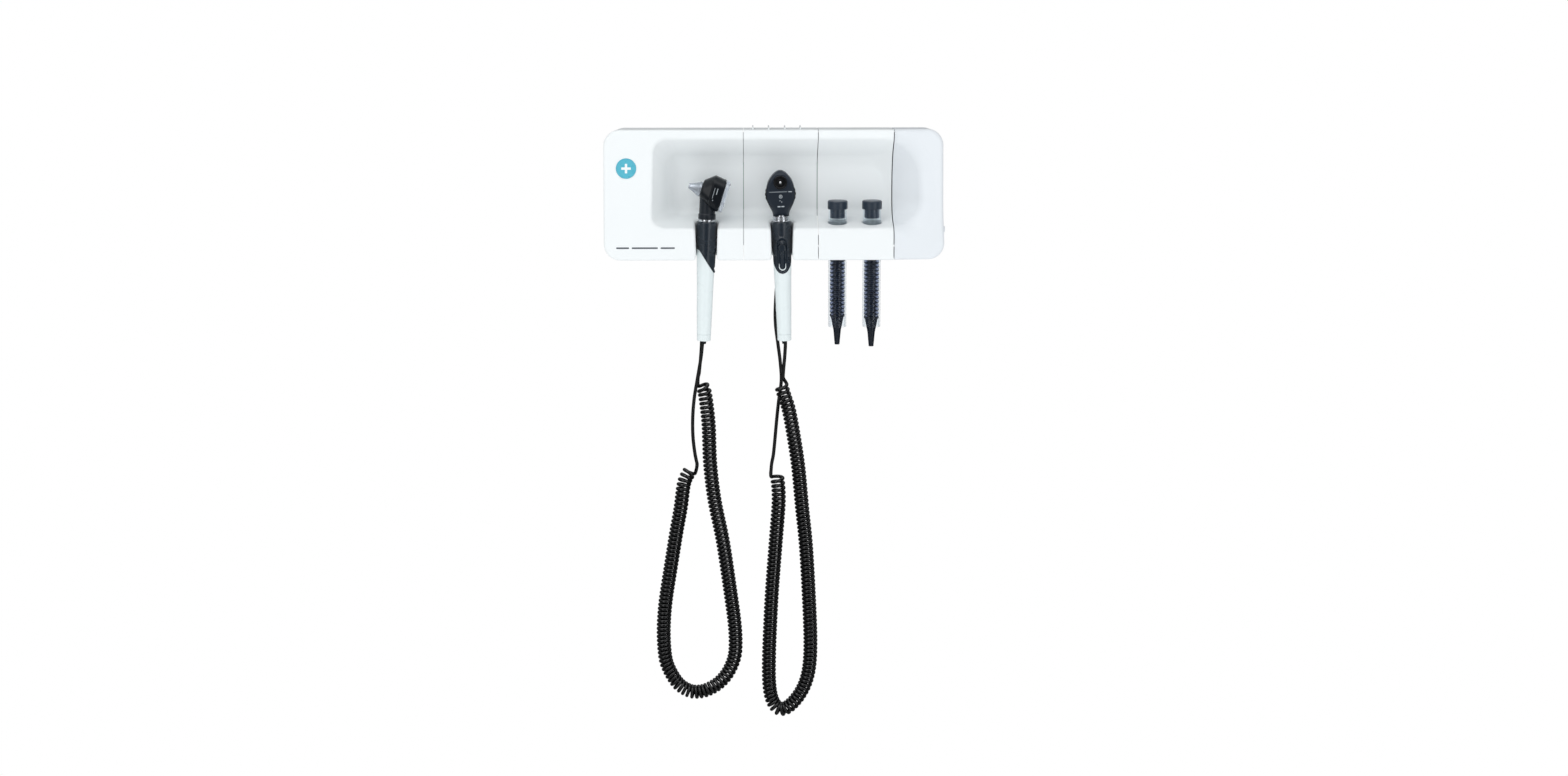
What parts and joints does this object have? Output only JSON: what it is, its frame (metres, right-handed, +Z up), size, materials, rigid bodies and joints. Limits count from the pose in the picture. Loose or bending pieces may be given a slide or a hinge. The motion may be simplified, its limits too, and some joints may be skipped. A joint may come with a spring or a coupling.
{
  "type": "otoscope",
  "caption": "Wall-mounted diagnostic station: corded otoscope and ophthalmoscope hang in forks of a white modular unit with clear speculum dispenser tubes and coiled cords.",
  "frame": {"origin": "centre of the wall unit's outline on the wall plane, at the centre of the four wall screws", "axes": "+X to the right seen from the front, +Y into the wall, +Z up"},
  "size_m": [0.3754, 0.0736, 0.6749],
  "materials": {
    "cover_plastic": "smooth white moulded ABS, soft gloss",
    "handle_plastic": "smooth white moulded plastic, soft gloss",
    "grip_plastic": "near-black satin plastic with a fine moulded grain",
    "head_plastic": "black satin moulded plastic",
    "cap_plastic": "dark blue-grey moulded plastic",
    "speculum_dark": "thin dark moulded plastic",
    "speculum_light": "thin pale grey moulded plastic",
    "rubber_black": "soft black rubber",
    "cord_jacket": "glossy black polyurethane cord jacket",
    "clear_plastic": "clear moulded acrylic",
    "lens_glass": "polished lens",
    "chrome_ring": "polished chrome plate",
    "steel_plate": "zinc-coated sheet steel",
    "spring_steel": "drawn spring wire",
    "contact_brass": "plated contact brass",
    "circuit_board": "green solder-masked board",
    "core_iron": "stacked iron laminations and windings",
    "black_plastic": "black moulded plastic",
    "badge_teal": "teal printed disc",
    "sensor_window": "dark red infrared window",
    "lamp_glass": "clear lamp bulb",
    "button_grey": "light grey moulded plastic",
    "mirror_face": "silvered face"
  },
  "bodies": {
    "station": {"wall_plate": "steel_plate", "power_cover": "cover_plastic", "middle_cover": "cover_plastic", "dispenser_cover": "cover_plastic", "end_cover": "cover_plastic", "cover_screws": "steel_plate", "transformer": "core_iron", "control_board": "circuit_board", "power_inlet": "black_plastic", "switch_frame": "black_plastic", "fork_liners": "rubber_black", "fork_sensors": "sensor_window", "badge": "badge_teal", "cord_grommets": "rubber_black", "otoscope_cord": "cord_jacket", "ophthalmoscope_cord": "cord_jacket", "speculum_tubes": "clear_plastic", "specula_stacks": "speculum_dark"},
    "power_rocker": {"switch_rocker": "black_plastic"},
    "side_release": {"side_button": "button_grey"},
    "left_cap": {"left_tube_cap": "cap_plastic"},
    "right_cap": {"right_tube_cap": "cap_plastic"},
    "left_speculum": {"left_next_speculum": "speculum_dark"},
    "right_speculum": {"right_next_speculum": "speculum_dark"},
    "otoscope_handle": {"otoscope_handle_sleeve": "handle_plastic", "otoscope_grip": "grip_plastic", "otoscope_connector_ring": "chrome_ring", "otoscope_contact_pin": "contact_brass", "otoscope_contact_spring": "spring_steel", "otoscope_dimmer_board": "circuit_board", "otoscope_end_cap": "handle_plastic", "otoscope_cord_relief": "rubber_black"},
    "otoscope_dimmer": {"otoscope_dimmer_button": "grip_plastic"},
    "otoscope_head": {"otoscope_neck": "head_plastic", "otoscope_head_housing": "head_plastic", "otoscope_lamp": "lamp_glass", "otoscope_light_cone": "black_plastic", "otoscope_lens_pin": "chrome_ring"},
    "otoscope_lens_window": {"otoscope_lens_frame": "clear_plastic", "otoscope_lens": "lens_glass"},
    "otoscope_ear_speculum": {"otoscope_speculum": "speculum_light"},
    "ophthalmoscope_handle": {"ophthalmoscope_handle_sleeve": "handle_plastic", "ophthalmoscope_grip": "grip_plastic", "ophthalmoscope_connector_ring": "chrome_ring", "ophthalmoscope_contact_pin": "contact_brass", "ophthalmoscope_contact_spring": "spring_steel", "ophthalmoscope_dimmer_board": "circuit_board", "ophthalmoscope_end_cap": "handle_plastic", "ophthalmoscope_cord_relief": "rubber_black"},
    "ophthalmoscope_dimmer": {"ophthalmoscope_dimmer_button": "grip_plastic"},
    "ophthalmoscope_head": {"ophthalmoscope_base_ring": "chrome_ring", "ophthalmoscope_head_front": "head_plastic", "ophthalmoscope_head_back": "head_plastic", "ophthalmoscope_window_bezel": "black_plastic", "ophthalmoscope_wheel_axle": "steel_plate", "ophthalmoscope_mirror": "mirror_face", "ophthalmoscope_lamp": "lamp_glass", "ophthalmoscope_brow_pad": "rubber_black"},
    "ophthalmoscope_lens_disc": {"ophthalmoscope_lens_wheel": "black_plastic"},
    "ophthalmoscope_aperture_disc": {"ophthalmoscope_aperture_wheel": "black_plastic"}
  },
  "joints": [
    {"name": "otoscope_lift", "type": "slide", "parent": "station", "child": "otoscope_handle", "axis": [0, -0.9397, 0.342], "range_m": [0, 0.12], "deforming": ["otoscope_cord"]},
    {"name": "otoscope_head_twist", "type": "hinge", "parent": "otoscope_handle", "child": "otoscope_head", "pos_m": [-0.0738, -0.048, -0.031], "axis": [0.0321, 0, 0.9995], "range_deg": [-35, 0]},
    {"name": "otoscope_lens_swing", "type": "hinge", "parent": "otoscope_head", "child": "otoscope_lens_window", "pos_m": [-0.05249, -0.048, 0.01094], "axis": [-0.9561, 0, 0.293], "range_deg": [0, 90]},
    {"name": "otoscope_speculum_pull", "type": "slide", "parent": "otoscope_head", "child": "otoscope_ear_speculum", "axis": [-0.9561, 0, 0.293], "range_m": [0, 0.025]},
    {"name": "otoscope_dimmer_press", "type": "slide", "parent": "otoscope_handle", "child": "otoscope_dimmer", "axis": [-0.9995, 0, 0.0321], "range_m": [0, 0.0008]},
    {"name": "ophthalmoscope_lift", "type": "slide", "parent": "station", "child": "ophthalmoscope_handle", "axis": [0, -0.9397, 0.342], "range_m": [0, 0.12], "deforming": ["ophthalmoscope_cord"]},
    {"name": "ophthalmoscope_head_twist", "type": "hinge", "parent": "ophthalmoscope_handle", "child": "ophthalmoscope_head", "pos_m": [0.008, -0.048, -0.031], "axis": [-0.0269, 0, 0.9996], "range_deg": [-35, 0]},
    {"name": "lens_wheel_spin", "type": "hinge", "parent": "ophthalmoscope_head", "child": "ophthalmoscope_lens_disc", "pos_m": [0.0072, -0.048, -0.00121], "axis": [0, -1, 0], "continuous": true},
    {"name": "aperture_wheel_spin", "type": "hinge", "parent": "ophthalmoscope_head", "child": "ophthalmoscope_aperture_disc", "pos_m": [0.0072, -0.048, -0.00121], "axis": [0, -1, 0], "continuous": true},
    {"name": "ophthalmoscope_dimmer_press", "type": "slide", "parent": "ophthalmoscope_handle", "child": "ophthalmoscope_dimmer", "axis": [0, 1, 0], "range_m": [0, 0.0008]},
    {"name": "left_cap_lift", "type": "slide", "parent": "station", "child": "left_cap", "axis": [0, 0, 1], "range_m": [0, 0.03]},
    {"name": "right_cap_lift", "type": "slide", "parent": "station", "child": "right_cap", "axis": [0, 0, 1], "range_m": [0, 0.03]},
    {"name": "left_speculum_pull", "type": "slide", "parent": "station", "child": "left_speculum", "axis": [0, 0, -1], "range_m": [0, 0.04]},
    {"name": "right_speculum_pull", "type": "slide", "parent": "station", "child": "right_speculum", "axis": [0, 0, -1], "range_m": [0, 0.04]},
    {"name": "power_switch_rock", "type": "hinge", "parent": "station", "child": "power_rocker", "pos_m": [-0.128, -0.04, -0.066], "axis": [0, 1, 0], "range_deg": [-16, 0]},
    {"name": "side_button_press", "type": "slide", "parent": "station", "child": "side_release", "axis": [-1, 0, 0], "range_m": [0, 0.0015]}
  ]
}
